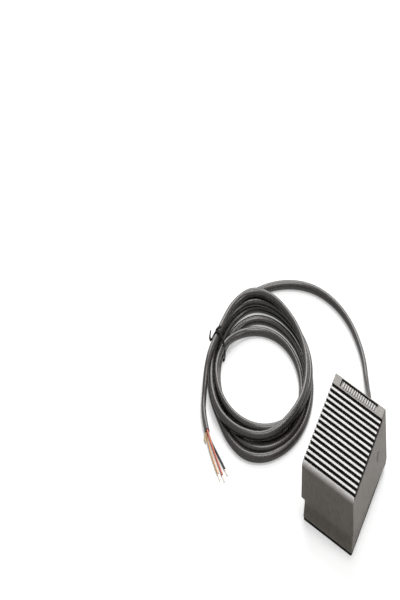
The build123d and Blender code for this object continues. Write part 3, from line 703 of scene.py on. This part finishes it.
class Tree:
    """A new tree of geometry nodes with named inputs and one geometry output."""

    def __init__(self, name, **inputs):
        self.tree = bpy.data.node_groups.new(name, "GeometryNodeTree")
        for label, value in inputs.items():
            kind = "NodeSocketInt" if isinstance(value, int) else "NodeSocketFloat"
            self.tree.interface.new_socket(label, in_out="INPUT", socket_type=kind).default_value = value
        self.tree.interface.new_socket("Geometry", in_out="OUTPUT", socket_type="NodeSocketGeometry")
        self.given = self.tree.nodes.new("NodeGroupInput").outputs
        self.result = self.tree.nodes.new("NodeGroupOutput")

    def add(self, kind, inputs, **settings):
        """New node with those inputs and settings."""
        node = self.tree.nodes.new(kind)
        for key, value in settings.items():
            setattr(node, key, value)
        for key, value in inputs.items():
            if isinstance(value, bpy.types.NodeSocket):
                self.tree.links.new(value, node.inputs[key])
            else:
                node.inputs[key].default_value = value
        return node

    def calc(self, operation, first, second=0.0):
        """One step of arithmetic."""
        return self.add("ShaderNodeMath", {0: first, 1: second}, operation=operation).outputs[0]

    def vector(self, **parts):
        """Vector with those parts."""
        return self.add("ShaderNodeCombineXYZ", parts).outputs[0]

    def ramp(self, value, low, high, total):
        """0 below low, rising to total at high and above."""
        given = {"Value": value, "From Min": low, "From Max": high, "To Max": total}
        return self.add("ShaderNodeMapRange", given).outputs[0]

    def finish(self, geometry, finish):
        """Make the result real, give it its material and hand it out."""
        real = self.add("GeometryNodeRealizeInstances", {"Geometry": geometry}).outputs[0]
        finished = self.add("GeometryNodeSetMaterial", {"Geometry": real, "Material": FINISHES[finish]})
        self.tree.links.new(finished.outputs[0], self.result.inputs[0])
        return self.tree


RECESS_DEPTH = 1.5 * MM
BAR_SUNK = 0.05 * MM
# Shares of a bar's width: its corners' radius, and its top after the chamfer
BAR_CORNER = 0.45
BAR_TOP = 0.84
WELD_DISTANCE = 0.01 * MM


def one_bar(tree):
    """Closed bar with round corners and a chamfered top, standing on the origin."""
    given = tree.given
    sizes = {"Width": given["Width"], "Height": given["Length"]}
    outline = tree.add("GeometryNodeCurvePrimitiveQuadrilateral", sizes).outputs[0]
    corners = {"Curve": outline, "Radius": tree.calc("MULTIPLY", given["Width"], BAR_CORNER), "Count": 4}
    rounded = tree.add("GeometryNodeFilletCurve", corners, mode="POLY").outputs[0]
    foot = tree.add("GeometryNodeFillCurve", {"Curve": rounded}, mode="NGONS").outputs[0]
    upward = {"Offset": (0, 0, 1), "Individual": False}
    wall_height = tree.calc("SUBTRACT", given["Height"], given["Chamfer"])
    walls = tree.add("GeometryNodeExtrudeMesh", {"Mesh": foot, "Offset Scale": wall_height, **upward}).outputs
    top = {"Mesh": walls["Mesh"], "Selection": walls["Top"], "Offset Scale": given["Chamfer"]}
    slanted = tree.add("GeometryNodeExtrudeMesh", {**top, **upward}).outputs
    narrowed = {"Geometry": slanted["Mesh"], "Selection": slanted["Top"], "Scale": BAR_TOP}
    topped = tree.add("GeometryNodeScaleElements", narrowed).outputs[0]
    under = tree.add("GeometryNodeFlipFaces", {"Mesh": foot}).outputs[0]
    together = tree.add("GeometryNodeJoinGeometry", {0: topped})
    tree.tree.links.new(under, together.inputs[0])
    closed = {"Geometry": together.outputs[0], "Distance": WELD_DISTANCE}
    return tree.add("GeometryNodeMergeByDistance", closed).outputs[0]


def bars_tree():
    """Bars in a row on the sloping floor of the name recess."""
    tree = Tree(
        "raised_bars", Count=15, Pitch=2.9 * MM, Width=1.2 * MM, Length=5.6 * MM, Height=1.1 * MM,
        Chamfer=0.18 * MM, Slope=math.atan(COVER_SLOPE),
    )
    given = tree.given
    bar = one_bar(tree)
    half_count = tree.calc("MULTIPLY", tree.calc("SUBTRACT", given["Count"], 1.0), -0.5)
    start = tree.vector(X=tree.calc("MULTIPLY", half_count, given["Pitch"]))
    line = {"Count": given["Count"], "Start Location": start, "Offset": tree.vector(X=given["Pitch"])}
    row = tree.add("GeometryNodeMeshLine", line).outputs[0]
    bars = tree.add("GeometryNodeInstanceOnPoints", {"Points": row, "Instance": bar}).outputs[0]
    floor_height = COVER_MIDDLE + COVER_SLOPE * RECESS_MIDDLE - RECESS_DEPTH
    foot_place = (0, RECESS_MIDDLE, floor_height - BAR_SUNK)
    place = {"Geometry": bars, "Translation": foot_place, "Rotation": tree.vector(X=given["Slope"])}
    return tree.finish(tree.add("GeometryNodeTransform", place).outputs[0], "bar_enamel")


SPRING_FOOT = Vector((0, -26, 4.5)) * MM
SPRING_LENGTH = 29.7 * MM


def spring_height(tree, turns):
    """Height of the wire's middle: it rises by its own thickness over the first turn and over the last."""
    given = tree.given
    closed_rise = tree.calc("MULTIPLY", given["Wire"], 2.0)
    last_turn = tree.calc("SUBTRACT", given["Turns"], 1.0)
    # Both closed turns and half a wire at each end come off the length, three wires or six radii in all
    open_rise = tree.calc("SUBTRACT", given["Length"], tree.calc("MULTIPLY", given["Wire"], 6.0))
    height = tree.calc("ADD", given["Wire"], tree.ramp(turns, 0.0, 1.0, closed_rise))
    height = tree.calc("ADD", height, tree.ramp(turns, 1.0, last_turn, open_rise))
    return tree.calc("ADD", height, tree.ramp(turns, last_turn, given["Turns"], closed_rise))


def spring_tree():
    """Compression spring whose first and last turns are closed. Wire is the radius of its wire."""
    tree = Tree(
        "spring_wire", Points=232, Turns=9.0, Radius=5.4 * MM, Wire=0.6 * MM, Length=SPRING_LENGTH,
    )
    given = tree.given
    line = tree.add("GeometryNodeMeshLine", {"Count": given["Points"]}).outputs[0]
    number = tree.add("GeometryNodeInputIndex", {}).outputs[0]
    share = tree.calc("DIVIDE", number, tree.calc("SUBTRACT", given["Points"], 1.0))
    turns = tree.calc("MULTIPLY", share, given["Turns"])
    angle = tree.calc("MULTIPLY", turns, 2 * math.pi)
    place = tree.vector(
        X=tree.calc("MULTIPLY", tree.calc("COSINE", angle), given["Radius"]),
        Y=tree.calc("MULTIPLY", tree.calc("SINE", angle), given["Radius"]),
        Z=spring_height(tree, turns),
    )
    wound = tree.add("GeometryNodeSetPosition", {"Geometry": line, "Position": place}).outputs[0]
    path = tree.add("GeometryNodeMeshToCurve", {"Mesh": wound}).outputs[0]
    round_wire = {"Resolution": 10, "Radius": given["Wire"]}
    ring = tree.add("GeometryNodeCurvePrimitiveCircle", round_wire).outputs[0]
    drawn = {"Curve": path, "Profile Curve": ring, "Fill Caps": True}
    tube = tree.add("GeometryNodeCurveToMesh", drawn).outputs[0]
    placed = tree.add("GeometryNodeTransform", {"Geometry": tube, "Translation": SPRING_FOOT}).outputs[0]
    return tree.finish(placed, "spring_steel")


def made_by_nodes(name, tree):
    """Plain mesh object of what a tree of geometry nodes makes."""
    host = link(bpy.data.objects.new(name + "_host", bpy.data.meshes.new(name + "_host")))
    modifier = host.modifiers.new("nodes", "NODES")
    modifier.node_group = tree
    for item in tree.interface.items_tree:
        if item.item_type == "SOCKET" and item.in_out == "INPUT":
            modifier[item.identifier] = item.default_value
    bpy.context.view_layer.update()
    drawn = bpy.data.meshes.new_from_object(host.evaluated_get(bpy.context.evaluated_depsgraph_get()))
    drawn.name = name
    bpy.data.objects.remove(host)
    return link(bpy.data.objects.new(name, drawn))


bars = made_by_nodes("recess_bars", bars_tree())
fit_out(bars, "bar_enamel", "cover")

spring = made_by_nodes("spring_coil", spring_tree())
spring.data.shade_smooth()
fit_out(spring, "spring_steel")
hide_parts("return_spring")
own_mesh(spring)


# Floor, daylight and lamps

FLOOR_REACH = 6.0
FLOOR_WHITE = (0.56, 0.56, 0.558)
# The floor's glow out to the first distance in metres from its middle, and past the second
FLOOR_GLOW = 0.45
FAR_GLOW = 0.9
GLOW_DISTANCES = (0.5, 2.5)
DAYLIGHT = 0.2
# Each lamp's place and target, its size in metres and its power in watts
LAMPS = {
    "lamp_above": ((0.22, 0.12, 1.75), (-0.05, 0.02, 0.0), 0.9, 22),
    "lamp_behind": ((-0.70, 1.35, 1.35), (0.0, 0.0, 0.03), 1.2, 26),
    "lamp_right": ((1.5, 0.45, 0.9), (0.0, 0.0, 0.02), 0.7, 7),
}


def make_stage():
    """White floor that keeps a soft shadow."""
    data = bpy.data.meshes.new("floor")
    corners = [(x * FLOOR_REACH, y * FLOOR_REACH, 0) for x, y in ((-1, -1), (1, -1), (1, 1), (-1, 1))]
    data.from_pydata(corners, [], [(0, 1, 2, 3)])
    finish = Finish("floor_white")
    finish.done(FLOOR_WHITE, 0.9, specular=0.1)
    glow = finish.add("ShaderNodeEmission")
    path = finish.add("ShaderNodeLightPath")
    seen = finish.calc("MAXIMUM", path.outputs["Is Camera Ray"], path.outputs["Is Glossy Ray"])
    seen = finish.calc("MAXIMUM", seen, path.outputs["Is Transmission Ray"])
    away = finish.add("ShaderNodeVectorMath", operation="LENGTH")
    finish.feed(away.inputs[0], finish.where)
    level = finish.spread(away.outputs["Value"], FLOOR_GLOW, FAR_GLOW, *GLOW_DISTANCES)
    finish.feed(glow.inputs["Strength"], finish.times(seen, level))
    both = finish.add("ShaderNodeAddShader")
    finish.feed(both.inputs[0], finish.shader.outputs["BSDF"])
    finish.feed(both.inputs[1], glow.outputs["Emission"])
    finish.feed(finish.tree.nodes["Material Output"].inputs["Surface"], both.outputs["Shader"])
    data.materials.append(finish.made)
    link(bpy.data.objects.new("floor", data))


def make_world(level):
    """White surroundings for the camera and for reflections, and an even soft light from all round."""
    world = bpy.data.worlds.new("surroundings")
    world.use_nodes = True
    bpy.context.scene.world = world
    tree = world.node_tree
    sky = tree.nodes["Background"]
    path = tree.nodes.new("ShaderNodeLightPath")
    strength = path.outputs["Is Camera Ray"]
    for other in ("Is Glossy Ray", "Is Transmission Ray"):
        either = tree.nodes.new("ShaderNodeMath")
        either.operation = "MAXIMUM"
        tree.links.new(strength, either.inputs[0])
        tree.links.new(path.outputs[other], either.inputs[1])
        strength = either.outputs["Value"]
    scale = tree.nodes.new("ShaderNodeMapRange")
    scale.inputs["To Min"].default_value = level
    scale.inputs["To Max"].default_value = 1.0
    tree.links.new(strength, scale.inputs["Value"])
    tree.links.new(scale.outputs["Result"], sky.inputs["Strength"])
    sky.inputs["Color"].default_value = (1, 1, 1, 1)


def make_lamp(name, place, target, size, power):
    """Soft square lamp that points at the target."""
    data = bpy.data.lights.new(name, "AREA")
    data.shape = "SQUARE"
    data.size = size
    data.energy = power
    lamp = link(bpy.data.objects.new(name, data))
    lamp.location = place
    lamp.rotation_mode = "QUATERNION"
    lamp.rotation_quaternion = (Vector(target) - Vector(place)).to_track_quat("-Z", "Y")
    lamp.visible_camera = False


make_stage()
make_world(DAYLIGHT)
for lamp_name, lamp_settings in LAMPS.items():
    make_lamp(lamp_name, *lamp_settings)
bpy.context.scene.view_settings.view_transform = "Standard"
